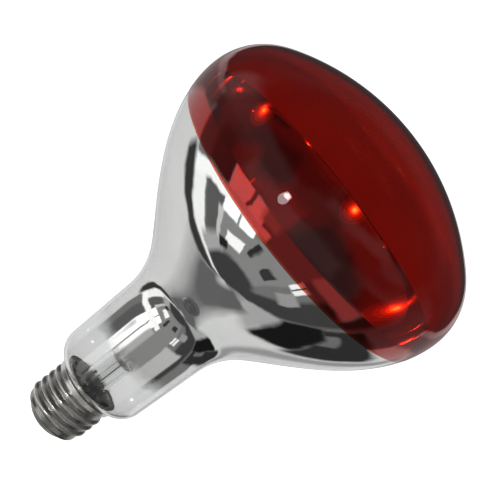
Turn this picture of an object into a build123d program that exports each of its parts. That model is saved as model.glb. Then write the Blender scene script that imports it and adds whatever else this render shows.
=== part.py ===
from build123d import *
import os
from math import atan2, cos, degrees, radians, sin, sqrt

# A red infrared reflector lamp with an E27 screw cap.
# The lamp axis is +Z and the origin is the tip of the centre contact, so the red face is on top.
# Lengths are millimetres and angles are degrees. Outlines are drawn as (radius, height).

# Bulb, measured over its outer surface
widest_radius = 63.5  # over the red coat
widest_height = 138.4
face_height = 37.4  # from the widest circle to the apex
brow_radius = 25.6  # rounding of the face beside the widest circle
glass_wall = 1.1
cone_angle = 38.0  # lean of the reflector where it leaves the flare
cone_share = 0.224  # length of the outline's handle at the flare, as a share of the chord
belly_share = 0.371  # and at the widest circle
flare_radius = 28.9
neck_length = 28.9
neck_taper = 2.0
neck_radius = 19.5  # where the shoulder meets the neck
shoulder_radius = 8.4
seal_fillet = 1.5

# Layers on the glass
coat_thickness = 0.2  # red filter coat, outside
coat_drop = 12.4  # lower edge below the widest circle
mirror_thickness = 0.2  # aluminium film, inside
mirror_start = 15.0  # lower edge above the shoulder
mirror_overlap = 9.0  # how far the mirror runs on behind the red coat

# Screw shell
thread_crest_radius = 13.1
thread_depth = 1.05
thread_pitch = 3.629
thread_half_width = 1.25
thread_turns = 3.55
thread_start_angle = 90.0
thread_sink = 0.1  # how deep the ridge is rooted in the shell's wall
shell_wall = 0.3
shell_rim_height = 24.2
collar_margin = 0.1  # collar over the thread's crest, in radius
collar_length = 2.3
collar_step = 0.5
lip_step = 1.65  # how far the lip turns in from the thread's root
lip_height = 4.4
lip_depth = 1.8

# Insulator and contact
contact_radius = 4.9
contact_thickness = 0.6
contact_height = 0.5  # lower face of the plate
contact_edge = 0.25  # fillet
eyelet_radius = 1.5
eyelet_bore = 0.9
eyelet_length = 2.1
insulator_margin = 0.4  # past the contact plate
insulator_floor = 5.0
insulator_rise = 1.2  # how far it climbs the shell's wall above the lip
solder_tip_radius = 1.3
solder_radius = 2.7
solder_plug = 1.2

# Seal between bulb, cap and stem
rim_gap = 0.4  # shell rim to the bulb's shoulder
cement_gap = 0.7  # glass to shell
cement_length = 9.0
cement_shrink = 0.2  # below the shell's rim
seal_length = 11.6  # glass below the shoulder

# Stem
stem_radius = 5.3
stem_wall = 1.0
flare_rim_length = 2.0
flare_length = 11.5
flare_handle = 5.5
stem_length = 29.0  # from the seal to where the tube begins to flatten
pinch_length = 5.0
press_length = 10.0
press_width = 12.6
press_thickness = 4.4
press_corner = 1.6
exhaust_radius = 2.1
exhaust_bore = 1.4
exhaust_tip_height = 11.0

# Wires
lead_clearance = 0.7  # outer leads to the stem's bore
inner_lead_radius = 0.4
seal_wire_radius = 0.25
outer_lead_radius = 0.2
seal_wire_tail = 2.0  # below the press
inner_lead_root = 1.0  # embedded in the press
outer_lead_bend = 1.0
side_lead_height = 10.8
centre_lead_bend_height = 9.6
centre_lead_axis_height = 6.4
centre_lead_end = 0.45

# Filament and its mount
filament_height = 98.0
filament_ring_radius = 13.0
filament_coil_radius = 0.6
filament_sweep = 300.0
filament_tail = 3.0
support_count = 5
support_wire_radius = 0.2
support_gap = 0.15
support_reach = 0.73  # share of the ring's radius where the wire turns up
support_root = 1.5
support_bend = 1.5
clamp_wall = 0.4
clamp_clearance = 0.03
clamp_length = 2.2
lead_bend_low = 8.0  # above the press
lead_bend_high = 6.0  # below the filament
inner_lead_bend = 5.0
arbor_radius = 1.5
button_radius = 2.6
button_drop = 8.0  # button's centre below the filament

# Side solder, a drop on the shell's rim
side_solder_angle = 110.0
side_solder_radius = 1.0
side_solder_proud = 0.7  # past the collar
side_solder_inward = 0.6  # over the shell's rim
side_solder_rounding = 0.45

thread_root_radius = thread_crest_radius - thread_depth
collar_radius = thread_crest_radius + collar_margin
lip_radius = thread_root_radius - lip_step
glass_radius = widest_radius - coat_thickness
glass_face_height = face_height - coat_thickness
apex_height = widest_height + face_height
shell_bore = thread_root_radius - shell_wall
seal_radius = shell_bore - cement_gap
shoulder_low = shell_rim_height + rim_gap
shoulder_centre = Vector(neck_radius - shoulder_radius, shoulder_low + shoulder_radius)
seal_bottom = shoulder_low - seal_length
stem_top = seal_bottom + stem_length
lead_spacing = stem_radius - stem_wall - lead_clearance - outer_lead_radius
mirror_low = shoulder_centre.Y + mirror_start
coat_low = widest_height - coat_drop
thread_low = lip_height + lip_depth
collar_low = shell_rim_height - collar_length
insulator_low = contact_height + contact_thickness
press_low = stem_top + pinch_length
press_top = press_low + press_length


def heading(lean):
    """Direction of an outline that climbs while leaning outwards from the axis."""
    return Vector(sin(radians(lean)), cos(radians(lean)))


def outward(lean):
    """Normal of that outline, pointing away from the axis."""
    return Vector(cos(radians(lean)), -sin(radians(lean)))


def round_stretch(centre, radius, first_lean, last_lean):
    """Arc that turns from one lean to another; a negative radius makes it hollow."""
    leans = (first_lean, (first_lean + last_lean) / 2, last_lean)
    return ThreePointArc(*[centre + outward(lean) * radius for lean in leans])


def turned(edges):
    """Solid turned about the lamp axis from a closed outline."""
    return revolve(Plane.XZ * Face(Wire(edges)), Axis.Z)


def turned_corners(corners):
    """The same, from straight lines between corners."""
    return turned(Polyline(*corners, close=True).edges())


def wire_along(corners, bend_radius, wire_radius):
    """Round wire along straight runs with equal bends, in three dimensions."""
    path = FilletPolyline(*corners, radius=bend_radius)
    section = Plane(path @ 0, z_dir=path % 0) * Circle(wire_radius)
    return sweep(section, path)


def at_angle(radius, angle, height):
    """Point at a radius and angle about the lamp axis."""
    return Vector(radius * cos(radians(angle)), radius * sin(radians(angle)), height)


def face_curves(inset):
    """Two tangent arcs from the widest circle to the apex, moved in by inset."""
    across = glass_radius - brow_radius
    squares = glass_radius**2 + glass_face_height**2
    dome_radius = (squares - 2 * glass_radius * brow_radius) / (2 * (glass_face_height - brow_radius))
    brow_centre = Vector(across, widest_height)
    dome_centre = Vector(0, widest_height + glass_face_height - dome_radius)
    meeting_lean = -degrees(atan2(dome_radius - glass_face_height, across))
    brow = round_stretch(brow_centre, brow_radius - inset, 0, meeting_lean)
    dome = round_stretch(dome_centre, dome_radius - inset, meeting_lean, -90)
    return [brow, dome]


def bulb_core(inset):
    """Everything inside the bulb's outer surface after that surface is moved in by inset."""
    fillet_radius = seal_radius + seal_fillet
    fillet_offset = fillet_radius - shoulder_centre.X
    fillet_drop = sqrt((shoulder_radius + seal_fillet) ** 2 - fillet_offset**2)
    fillet_centre = Vector(fillet_radius, shoulder_centre.Y - fillet_drop)
    shoulder_lean = 90 - Vector(0, -1).get_angle(fillet_centre - shoulder_centre)
    reach = outward(neck_taper) * (shoulder_radius + flare_radius)
    flare_centre = shoulder_centre + reach + heading(neck_taper) * neck_length
    seal = round_stretch(fillet_centre, -(seal_fillet + inset), 0, shoulder_lean)
    shoulder = round_stretch(shoulder_centre, shoulder_radius - inset, shoulder_lean, neck_taper)
    flare = round_stretch(flare_centre, -(flare_radius + inset), neck_taper, cone_angle)
    start = flare @ 1
    end = Vector(glass_radius - inset, widest_height)
    chord = (end - start).length
    leave = start + heading(cone_angle) * (cone_share * chord)
    arrive = end - heading(0) * (belly_share * chord)
    bowl = Bezier(start, leave, arrive, end)
    brow, dome = face_curves(inset)
    foot = Vector(seal_radius - inset, seal_bottom)
    below = Polyline(dome @ 1, (0, seal_bottom), foot, seal @ 0)
    neck = Line(shoulder @ 1, flare @ 0)
    return turned([*below.edges(), seal, shoulder, neck, flare, bowl, brow, dome])


def slab(low, high):
    """Everything between two heights, wider than the bulb."""
    corners = [(0, low), (2 * widest_radius, low), (2 * widest_radius, high), (0, high)]
    return turned_corners(corners)


def make_bulb_glass():
    return bulb_core(0) - bulb_core(glass_wall)


def make_mirror_film():
    film = bulb_core(glass_wall) - bulb_core(glass_wall + mirror_thickness)
    return film & slab(mirror_low, coat_low + mirror_overlap)


def make_red_coat():
    return (bulb_core(-coat_thickness) - bulb_core(0)) & slab(coat_low, apex_height + glass_wall)


def lip_curve(inset):
    """Rounded lower edge of the shell, moved in by inset."""
    across = thread_root_radius - lip_radius - inset
    return EllipticalCenterArc((lip_radius, thread_low), across, lip_depth - inset, 270, arc_size=90)


def make_thread_ridge():
    """Knuckle thread: one round ridge carried up a helix."""
    inner = thread_root_radius - thread_sink
    low_edge = Vector(inner, -thread_half_width)
    high_edge = Vector(inner, thread_half_width)
    crest = ThreePointArc(low_edge, (thread_crest_radius, 0), high_edge)
    section = Plane.XZ * Face(Wire([crest, Line(high_edge, low_edge)]))
    path = Helix(thread_pitch, thread_pitch * thread_turns, inner)
    ridge = sweep(section, path, is_frenet=True)
    return Pos(0, 0, thread_low + thread_half_width) * Rotation(0, 0, thread_start_angle) * ridge


def make_screw_shell():
    outer_lip = lip_curve(0)
    inner_lip = lip_curve(shell_wall)
    collar_bore = collar_radius - shell_wall
    wall = Polyline(
        outer_lip @ 1,
        (thread_root_radius, collar_low - collar_step),
        (collar_radius, collar_low),
        (collar_radius, shell_rim_height),
        (collar_bore, shell_rim_height),
        (collar_bore, collar_low),
        (shell_bore, collar_low - collar_step),
        inner_lip @ 1,
    )
    edge = Line(inner_lip @ 0, outer_lip @ 0)
    return turned([outer_lip, *wall.edges(), inner_lip, edge]) + make_thread_ridge()


def make_cap_insulator():
    lip = lip_curve(shell_wall)
    above_lip = Polyline(
        lip @ 1,
        (shell_bore, thread_low + insulator_rise),
        (contact_radius + insulator_margin, insulator_floor),
        (eyelet_radius, insulator_floor),
        (eyelet_radius, insulator_low),
        (contact_radius + insulator_margin, insulator_low),
        (lip_radius, lip_height),
        lip @ 0,
    )
    return turned([lip, *above_lip.edges()])


def make_centre_contact():
    plate = Pos(0, 0, contact_height) * Cylinder(
        contact_radius, contact_thickness, align=(Align.CENTER, Align.CENTER, Align.MIN)
    )
    plate = fillet(plate.edges().group_by(Axis.Z)[0], contact_edge)
    eyelet = Pos(0, 0, insulator_low) * Cylinder(
        eyelet_radius, eyelet_length, align=(Align.CENTER, Align.CENTER, Align.MIN)
    )
    return plate + eyelet - Cylinder(eyelet_bore, 2 * insulator_floor)


def make_contact_solder(centre_lead):
    corners = [
        (0, 0),
        (solder_tip_radius, 0),
        (solder_radius, contact_height),
        (eyelet_bore, contact_height),
        (eyelet_bore, contact_height + solder_plug),
        (0, contact_height + solder_plug),
    ]
    return turned_corners(corners) - centre_lead


def make_basing_cement(side_lead):
    collar_bore = collar_radius - shell_wall
    top = shell_rim_height - cement_shrink
    low = shell_rim_height - cement_length
    corners = [
        (0, low),
        (shell_bore, low),
        (shell_bore, collar_low - collar_step),
        (collar_bore, collar_low),
        (collar_bore, top),
        (0, top),
    ]
    return turned_corners(corners) - bulb_core(0) - side_lead


def make_side_solder():
    """Button of solder on the shell's rim, under the glass, over the end of the side lead."""
    outer = at_angle(collar_radius + side_solder_proud, side_solder_angle, shell_rim_height)
    inwards = at_angle(-1, side_solder_angle, 0)
    depth = side_solder_proud + side_solder_inward
    button = extrude(Plane(outer, z_dir=inwards) * Circle(side_solder_radius), depth)
    outer_edge = button.edges().filter_by(GeomType.CIRCLE).sort_by_distance(outer)[0]
    button = fillet(outer_edge, side_solder_rounding)
    return button - slab(0, shell_rim_height) - bulb_core(0)


def stem_outline(inset):
    """Trumpet from the seal's rim to the stem tube, moved in by inset."""
    rim_radius = seal_radius - glass_wall - inset
    tube_radius = stem_radius - inset
    rim_top = seal_bottom + flare_rim_length
    tube_low = rim_top + flare_length
    trumpet = Bezier(
        (rim_radius, rim_top),
        (rim_radius, rim_top + flare_handle),
        (tube_radius, tube_low - flare_handle),
        (tube_radius, tube_low),
    )
    below = Polyline((0, seal_bottom), (rim_radius, seal_bottom), trumpet @ 0)
    above = Polyline(trumpet @ 1, (tube_radius, stem_top), (0, stem_top), (0, seal_bottom))
    return turned([*below.edges(), trumpet, *above.edges()])


def make_stem_tube(wires):
    """Flared tube whose top is pinched flat around the wires."""
    round_end = Pos(0, 0, stem_top) * Circle(stem_radius)
    flat_end = Pos(0, 0, press_low) * RectangleRounded(press_width, press_thickness, press_corner)
    pinch = loft([round_end.face(), flat_end.face()])
    press = extrude(flat_end, press_length)
    stem = stem_outline(0) + pinch + press - stem_outline(stem_wall)
    return turn_stem(stem) - wires


def make_exhaust_tube():
    tip_centre = exhaust_tip_height + exhaust_radius
    outer_tip = CenterArc((0, tip_centre), exhaust_radius, 270, 90)
    inner_tip = CenterArc((0, tip_centre), exhaust_bore, 270, 90)
    outer_side = Line(outer_tip @ 1, (exhaust_radius, stem_top))
    top = Line((exhaust_radius, stem_top), (exhaust_bore, stem_top))
    inner_side = Line((exhaust_bore, stem_top), inner_tip @ 1)
    tip = Line(inner_tip @ 0, outer_tip @ 0)
    return turned([outer_tip, outer_side, top, inner_side, inner_tip, tip])


def turn_stem(piece):
    """Turns a piece of the stem so that its wires line up with the side solder."""
    return Rotation(0, 0, side_solder_angle) * piece


def make_seal_wire(side):
    length = press_top - inner_lead_root - (stem_top - seal_wire_tail)
    wire = Cylinder(seal_wire_radius, length, align=(Align.CENTER, Align.CENTER, Align.MIN))
    return turn_stem(Pos(side * lead_spacing, 0, stem_top - seal_wire_tail) * wire)


def make_side_lead():
    """From the stem, under the glass, then up through the cement to the shell's rim."""
    channel = (seal_radius + shell_bore) / 2
    gap_middle = collar_radius - shell_wall - outer_lead_radius - support_gap
    corners = [
        (lead_spacing, 0, stem_top - seal_wire_tail),
        (lead_spacing, 0, side_lead_height),
        (channel, 0, side_lead_height),
        (channel, 0, collar_low - collar_step),
        (gap_middle, 0, shell_rim_height - seal_fillet / 2),
        (gap_middle, 0, shell_rim_height),
    ]
    bends = [outer_lead_bend, outer_lead_bend, seal_fillet / 3, seal_fillet / 3]
    return turn_stem(wire_along(corners, bends, outer_lead_radius))


def make_centre_lead():
    """From the stem, past the exhaust tip and down the axis to the contact."""
    corners = [
        (-lead_spacing, 0, stem_top - seal_wire_tail),
        (-lead_spacing, 0, centre_lead_bend_height),
        (0, 0, centre_lead_axis_height),
        (0, 0, centre_lead_end),
    ]
    return turn_stem(wire_along(corners, outer_lead_bend, outer_lead_radius))


def filament_end(side):
    """Where the coil leaves its ring, and the direction in which its tail goes on."""
    end_angle = -90 + side * (360 - filament_sweep) / 2
    end = at_angle(filament_ring_radius, end_angle, filament_height)
    tail = at_angle(1, end_angle - side * 90, 0)
    return end, tail


def make_filament():
    """Outer envelope of the coil: most of a ring, with a straight tail at each end."""
    start, start_tail = filament_end(1)
    end, end_tail = filament_end(-1)
    far_side = at_angle(filament_ring_radius, 90, filament_height)
    ring = ThreePointArc(start, far_side, end)
    first = Line(start + start_tail * filament_tail, start)
    last = Line(end, end + end_tail * filament_tail)
    path = Wire([first, ring, last])
    section = Plane(path @ 0, z_dir=path % 0) * Circle(filament_coil_radius)
    return turn_stem(sweep(section, path))


def make_inner_lead(side):
    """Nickel wire from the press to the filament, ending in a small crimped sleeve."""
    end, tail = filament_end(side)
    middle = end + tail * (filament_tail / 2)
    bore_radius = filament_coil_radius + clamp_clearance
    sleeve_radius = bore_radius + clamp_wall
    corners = [
        Vector(side * lead_spacing, 0, press_top - inner_lead_root),
        Vector(side * lead_spacing, 0, press_top + lead_bend_low),
        middle - Vector(0, 0, lead_bend_high),
        middle - Vector(0, 0, bore_radius + clamp_wall / 2),
    ]
    wire = wire_along(corners, inner_lead_bend, inner_lead_radius)
    crimp = Plane(middle, z_dir=tail)
    sleeve = crimp * Cylinder(sleeve_radius, clamp_length)
    bore = crimp * Cylinder(bore_radius, filament_tail)
    return turn_stem(wire + sleeve - bore)


def make_support_wire(index):
    """Wire from the button with a loop around the filament."""
    step = filament_sweep / (support_count + 1)
    angle = -90 + (360 - filament_sweep) / 2 + step * (index + 1)
    loop_radius = filament_coil_radius + support_gap + support_wire_radius
    button_height = filament_height - button_drop
    corners = [
        (support_root, 0, button_height),
        (support_reach * filament_ring_radius, 0, button_height + support_root),
        (filament_ring_radius, 0, filament_height - loop_radius),
    ]
    wire = wire_along(corners, support_bend, support_wire_radius)
    loop_place = Plane((filament_ring_radius, 0, filament_height), z_dir=(0, 1, 0))
    loop = loop_place * Torus(loop_radius, support_wire_radius)
    return turn_stem(Rotation(0, 0, angle) * (wire + loop))


def make_arbor_rod():
    length = filament_height - button_drop - press_top
    rod = Cylinder(arbor_radius, length, align=(Align.CENTER, Align.CENTER, Align.MIN))
    return Pos(0, 0, press_top) * rod


def make_arbor_button(rod, supports):
    button = Pos(0, 0, filament_height - button_drop) * Sphere(button_radius)
    return button - rod - supports


def make_parts():
    """Every separate piece of the lamp, by name."""
    side_lead = make_side_lead()
    centre_lead = make_centre_lead()
    seal_wires = [make_seal_wire(side) for side in (1, -1)]
    inner_leads = [make_inner_lead(side) for side in (1, -1)]
    supports = [make_support_wire(index) for index in range(support_count)]
    rod = make_arbor_rod()
    parts = {
        "bulb_glass": make_bulb_glass(),
        "mirror_film": make_mirror_film(),
        "red_filter_coat": make_red_coat(),
        "screw_shell": make_screw_shell(),
        "cap_insulator": make_cap_insulator(),
        "centre_contact": make_centre_contact(),
        "contact_solder": make_contact_solder(centre_lead),
        "side_solder": make_side_solder(),
        "basing_cement": make_basing_cement(side_lead),
        "stem_tube": make_stem_tube([*seal_wires, *inner_leads]),
        "exhaust_tube": make_exhaust_tube(),
        "arbor_rod": rod,
        "arbor_button": make_arbor_button(rod, supports),
        "filament": make_filament(),
        "side_outer_lead": side_lead,
        "centre_outer_lead": centre_lead,
        "side_seal_wire": seal_wires[0],
        "centre_seal_wire": seal_wires[1],
        "side_inner_lead": inner_leads[0],
        "centre_inner_lead": inner_leads[1],
    }
    for number, support in enumerate(supports, start=1):
        parts[f"filament_support_{number}"] = support
    return parts


os.makedirs("parts", exist_ok=True)
for name, shape in make_parts().items():
    export_step(shape, f"parts/{name}.step")
    print(name, "volume", round(shape.volume, 2))
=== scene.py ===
import bpy
import numpy as np
from mathutils import Matrix, Vector


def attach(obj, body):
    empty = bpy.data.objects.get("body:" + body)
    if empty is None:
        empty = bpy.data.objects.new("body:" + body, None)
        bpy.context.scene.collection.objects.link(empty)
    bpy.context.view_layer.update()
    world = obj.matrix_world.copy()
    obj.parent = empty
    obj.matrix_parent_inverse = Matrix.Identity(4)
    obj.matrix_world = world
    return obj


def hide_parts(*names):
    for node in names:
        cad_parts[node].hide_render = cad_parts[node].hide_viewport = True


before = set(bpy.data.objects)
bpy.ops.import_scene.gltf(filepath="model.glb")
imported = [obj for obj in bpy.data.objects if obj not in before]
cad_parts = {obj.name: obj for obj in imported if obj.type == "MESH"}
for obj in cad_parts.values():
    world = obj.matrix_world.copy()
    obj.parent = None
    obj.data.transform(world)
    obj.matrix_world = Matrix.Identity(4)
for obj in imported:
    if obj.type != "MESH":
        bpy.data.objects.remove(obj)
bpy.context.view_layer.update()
scene = bpy.context.scene
mm = 0.001
samePoint = 1e-6  # mm: end rows narrower than this are one point
foldAngle = 50  # degrees: faces that meet more sharply than this keep a crisp edge
upwards = np.array([0, 0, 1.0])
sideways = np.array([0, 1.0, 0])


# 0 below low, 1 above high, and 3t^2 - 2t^3 between them
def smoothStep(low, high, value):
    t = np.clip((value - low) / (high - low), 0, 1)
    return t * t * (3 - 2 * t)


# Quads of a rows x columns grid whose columns join round; closeRows joins the last row to the first.
def gridFaces(rows, columns, closeRows):
    row = np.arange(rows if closeRows else rows - 1)[:, None]
    column = np.arange(columns)[None, :]
    nextRow = (row + 1) % rows
    nextColumn = (column + 1) % columns
    corners = (row * columns + column, nextRow * columns + column,
               nextRow * columns + nextColumn, row * columns + nextColumn)
    return np.stack([np.broadcast_to(c, (row.shape[0], columns)) for c in corners], -1).reshape(-1, 4)


# Six times the volume: the sum of a . (b x c) over every triangle.
def signedVolume(points, quads, fans):
    triangles = np.concatenate([quads[:, [0, 1, 2]], quads[:, [0, 2, 3]], fans])
    a, b, c = (points[triangles[:, i]] for i in range(3))
    return float(np.einsum("ij,ij->i", a, np.cross(b, c)).sum())


# Mesh from a grid of points in mm (rows x columns x 3). Open ends are closed with a fan to their middle; an
# end row that is a single point becomes that middle. With two materials, matchedRows says which rows of faces
# take the second.
def makePiece(name, node, material, grid, closeRows=False, matched=None, matchedRows=None):
    ends = grid[[0, -1]].mean(1)
    if not closeRows:
        first = 1 if np.ptp(grid[0], axis=0).max() < samePoint else 0
        last = len(grid) - 1 if np.ptp(grid[-1], axis=0).max() < samePoint else len(grid)
        grid = grid[first:last]
    rows, columns, _ = grid.shape
    points = grid.reshape(-1, 3)
    quads = gridFaces(rows, columns, closeRows)
    fans = np.zeros((0, 3), int)
    if not closeRows:
        points = np.concatenate([points, ends])
        around = np.arange(columns)
        after = (around + 1) % columns
        lastRow = (rows - 1) * columns
        firstFan = np.stack([np.full(columns, rows * columns), around, after], -1)
        lastFan = np.stack([np.full(columns, rows * columns + 1), lastRow + after, lastRow + around], -1)
        fans = np.concatenate([firstFan, lastFan])
    if signedVolume(points, quads, fans) < 0:
        quads, fans = quads[:, ::-1], fans[:, ::-1]
    mesh = bpy.data.meshes.new(name)
    mesh.from_pydata((points * mm).tolist(), [], quads.tolist() + fans.tolist())
    mesh.polygons.foreach_set("use_smooth", np.ones(len(mesh.polygons), bool))
    mesh.materials.append(material)
    if matched:
        mesh.materials.append(matched)
        rowKinds = np.concatenate([matchedRows[first:first + rows - 1], matchedRows[[0, -2]]])
        mesh.polygons.foreach_set("material_index", np.repeat(rowKinds, columns).astype(np.int32))
    mesh.validate()
    mesh.set_sharp_from_angle(angle=np.radians(foldAngle))
    piece = bpy.data.objects.new(name, mesh)
    scene.collection.objects.link(piece)
    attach(piece, "root")
    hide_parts(node)
    return piece


# Grid of a profile of (radius, height) carried once round the lamp axis.
def turned(profile, segments):
    angle = np.linspace(0, 2 * np.pi, segments, endpoint=False)
    radius, height = profile[:, :1], profile[:, 1:]
    level = np.broadcast_to(height, (len(profile), segments))
    return np.stack([radius * np.cos(angle), radius * np.sin(angle), level], -1)


# Arc whose outward normal at lean t is (cos t, -sin t); a negative radius makes it hollow.
def arcPoints(centre, radius, firstLean, lastLean, count):
    lean = np.radians(np.linspace(firstLean, lastLean, count))[:, None]
    return np.array(centre) + radius * np.concatenate([np.cos(lean), -np.sin(lean)], 1)


# The same line with its points spread evenly along its length.
def evenly(points, spacing):
    steps = np.linalg.norm(np.diff(points, axis=0), axis=1)
    along = np.concatenate([[0], np.cumsum(steps)])
    wanted = np.linspace(0, along[-1], max(3, int(round(along[-1] / spacing)) + 1))
    return np.stack([np.interp(wanted, along, points[:, i]) for i in range(points.shape[1])], 1)


# Quadratic B-spline of the corners: straight to each middle, then round each corner.
def roundedCorners(corners, spacing):
    corners = np.array(corners, float)
    middles = (corners[1:] + corners[:-1]) / 2
    t = np.linspace(0, 1, 13)[:, None]
    arcs = [(1 - t) ** 2 * a + 2 * t * (1 - t) * b + t * t * c
            for a, b, c in zip(middles[:-1], corners[1:-1], middles[1:])]
    return evenly(np.concatenate([corners[:1], *arcs, corners[-1:]]), spacing)


# Circle carried along a path; beside is a direction that is never along the path.
def tube(path, beside, radius, sides=12):
    forward = np.gradient(path, axis=0)
    forward /= np.linalg.norm(forward, axis=1)[:, None]
    across = np.cross(forward, beside)
    across /= np.linalg.norm(across, axis=1)[:, None]
    upward = np.cross(forward, across)
    angle = np.linspace(0, 2 * np.pi, sides, endpoint=False)[None, :, None]
    radius = np.broadcast_to(radius, len(path))[:, None, None]
    return path[:, None] + radius * (np.cos(angle) * across[:, None] + np.sin(angle) * upward[:, None])


# Points turned about the lamp axis.
def turnAbout(points, degrees):
    c, s = np.cos(np.radians(degrees)), np.sin(np.radians(degrees))
    return points @ np.array([[c, s, 0], [-s, c, 0], [0, 0, 1]])


def newMaterial(name):
    material = bpy.data.materials.new(name)
    material.use_nodes = True
    tree = material.node_tree
    shader = tree.nodes["Principled BSDF"]
    where = tree.nodes.new("ShaderNodeTexCoord").outputs["Object"]
    return material, tree, shader, where


# noise on object coordinates; scale is in features per metre
def noise(tree, where, scale, detail=3.0, stretch=(1, 1, 1)):
    mapping = tree.nodes.new("ShaderNodeMapping")
    mapping.inputs["Scale"].default_value = [scale * s for s in stretch]
    tree.links.new(where, mapping.inputs["Vector"])
    texture = tree.nodes.new("ShaderNodeTexNoise")
    texture.inputs["Scale"].default_value = 1.0
    texture.inputs["Detail"].default_value = detail
    tree.links.new(mapping.outputs["Vector"], texture.inputs["Vector"])
    return texture.outputs["Fac"]


# maps start..end of a value to low..high
def spread(tree, value, low, high, start=0.3, end=0.7):
    node = tree.nodes.new("ShaderNodeMapRange")
    for socket, number in (("From Min", start), ("From Max", end), ("To Min", low), ("To Max", high)):
        node.inputs[socket].default_value = number
    tree.links.new(value, node.inputs["Value"])
    return node.outputs["Result"]


def mathNode(tree, operation, *values):
    node = tree.nodes.new("ShaderNodeMath")
    node.operation = operation
    for socket, value in zip(node.inputs, values):
        if isinstance(value, (int, float)):
            socket.default_value = value
        else:
            tree.links.new(value, socket)
    return node.outputs[0]


def blendColours(tree, factor, first, second):
    node = tree.nodes.new("ShaderNodeMix")
    node.data_type = "RGBA"
    node.inputs["A"].default_value = (*first, 1)
    node.inputs["B"].default_value = (*second, 1)
    tree.links.new(factor, node.inputs["Factor"])
    return node.outputs["Result"]


def bump(tree, shader, height, strength, distance):
    node = tree.nodes.new("ShaderNodeBump")
    node.inputs["Strength"].default_value = strength
    node.inputs["Distance"].default_value = distance
    tree.links.new(height, node.inputs["Height"])
    tree.links.new(node.outputs["Normal"], shader.inputs["Normal"])


fineness = 2.3  # how much finer the roughness pattern is than the colour pattern
bumpDepth = 0.0002  # metres


# opaque finish: two colours mixed by noise, with uneven roughness and a fine bump
def speckled(name, look):
    material, tree, shader, where = newMaterial(name)
    tint = spread(tree, noise(tree, where, look["grain"]), 0, 1)
    colour = blendColours(tree, tint, look["colour"], look["worn"])
    tree.links.new(colour, shader.inputs["Base Color"])
    patch = noise(tree, where, look["grain"] * fineness, 5)
    rough = spread(tree, patch, look["rough"] - look["roughSpread"], look["rough"] + look["roughSpread"])
    tree.links.new(rough, shader.inputs["Roughness"])
    shader.inputs["Metallic"].default_value = look["metal"]
    bump(tree, shader, patch, look["bump"], bumpDepth)
    return material


bulb = {
    "widest": 63.3, "widestHeight": 138.4, "faceHeight": 37.2, "browRadius": 25.6, "wall": 1.1,
    "coneAngle": 38.0, "coneShare": 0.224, "bellyShare": 0.371, "flareRadius": 28.9,
    "neckLength": 28.9, "neckTaper": 2.0, "shoulder": (11.1, 33.0), "shoulderRadius": 8.4,
    "sealRadius": 11.05, "sealBottom": 13.0, "sealFillet": 1.5,
    "spacing": 1.0, "segments": 176, "softening": 3.0, "softenFrom": 66.0, "softenFade": 8.0,
    "waveDepth": 0.05, "waveLow": 40.0, "waveHigh": 80.0, "stillRadius": 25.0,
}


# Gaussian average of an outline above a height, mirrored across the axis at the apex.
def softened(profile, reach, fromHeight):
    mirrored = profile[::-1][1:] * np.array([-1, 1])
    whole = np.concatenate([profile, mirrored])
    width = int(4 * reach)
    weight = np.exp(-0.5 * (np.arange(-width, width + 1) / reach) ** 2)
    weight /= weight.sum()
    padded = np.pad(whole, ((width, width), (0, 0)), mode="edge")
    smooth = np.stack([np.convolve(column, weight, "valid") for column in padded.T], 1)
    smooth = smooth[:len(profile)]
    share = smoothStep(fromHeight - bulb["softenFade"], fromHeight + bulb["softenFade"], profile[:, 1:])
    return profile * (1 - share) + smooth * share


# Outline from the seal to the apex: straight seal, hollow fillet, round shoulder, tapered neck,
# hollow flare, a cubic Bezier cone and a face of two arcs that meet smoothly, all moved in by inset.
def bulbOutline(inset):
    b = bulb
    shoulder = np.array(b["shoulder"])
    filletX = b["sealRadius"] + b["sealFillet"]
    reach = b["shoulderRadius"] + b["sealFillet"]
    fillet = np.array([filletX, shoulder[1] - np.sqrt(reach ** 2 - (filletX - shoulder[0]) ** 2)])
    lean = np.degrees(np.arccos((filletX - shoulder[0]) / reach))
    tilt = np.radians(b["neckTaper"])
    normal = np.array([np.cos(tilt), -np.sin(tilt)])
    along = np.array([np.sin(tilt), np.cos(tilt)])
    flare = shoulder + normal * (b["shoulderRadius"] + b["flareRadius"]) + along * b["neckLength"]
    seal = arcPoints(fillet, -(b["sealFillet"] + inset), 0, lean, 12)
    turn = arcPoints(shoulder, b["shoulderRadius"] - inset, lean, b["neckTaper"], 24)
    hollow = arcPoints(flare, -(b["flareRadius"] + inset), b["neckTaper"], b["coneAngle"], 24)
    lean = np.radians(b["coneAngle"])
    start, end = hollow[-1], np.array([b["widest"] - inset, b["widestHeight"]])
    chord = np.linalg.norm(end - start)
    leave = start + b["coneShare"] * chord * np.array([np.sin(lean), np.cos(lean)])
    arrive = end - np.array([0, b["bellyShare"] * chord])
    t = np.linspace(0, 1, 60)[:, None]
    cone = (1 - t) ** 3 * start + 3 * (1 - t) ** 2 * t * leave + 3 * (1 - t) * t * t * arrive + t ** 3 * end
    across = b["widest"] - b["browRadius"]
    squares = b["widest"] ** 2 + b["faceHeight"] ** 2 - 2 * b["widest"] * b["browRadius"]
    domeRadius = squares / (2 * (b["faceHeight"] - b["browRadius"]))
    meeting = -np.degrees(np.arctan2(domeRadius - b["faceHeight"], across))
    domeCentre = b["widestHeight"] + b["faceHeight"] - domeRadius
    brow = arcPoints((across, b["widestHeight"]), b["browRadius"] - inset, 0, meeting, 60)
    dome = arcPoints((0, domeCentre), domeRadius - inset, meeting, -90, 60)
    face = np.concatenate([brow, dome[1:]])
    bottom = np.array([[b["sealRadius"] - inset, b["sealBottom"]]])
    whole = evenly(np.concatenate([bottom, seal, turn, hollow, cone[1:], face[1:]]), b["spacing"])
    whole = softened(whole, b["softening"], b["softenFrom"])
    whole[-1, 0] = 0
    return whole


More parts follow.
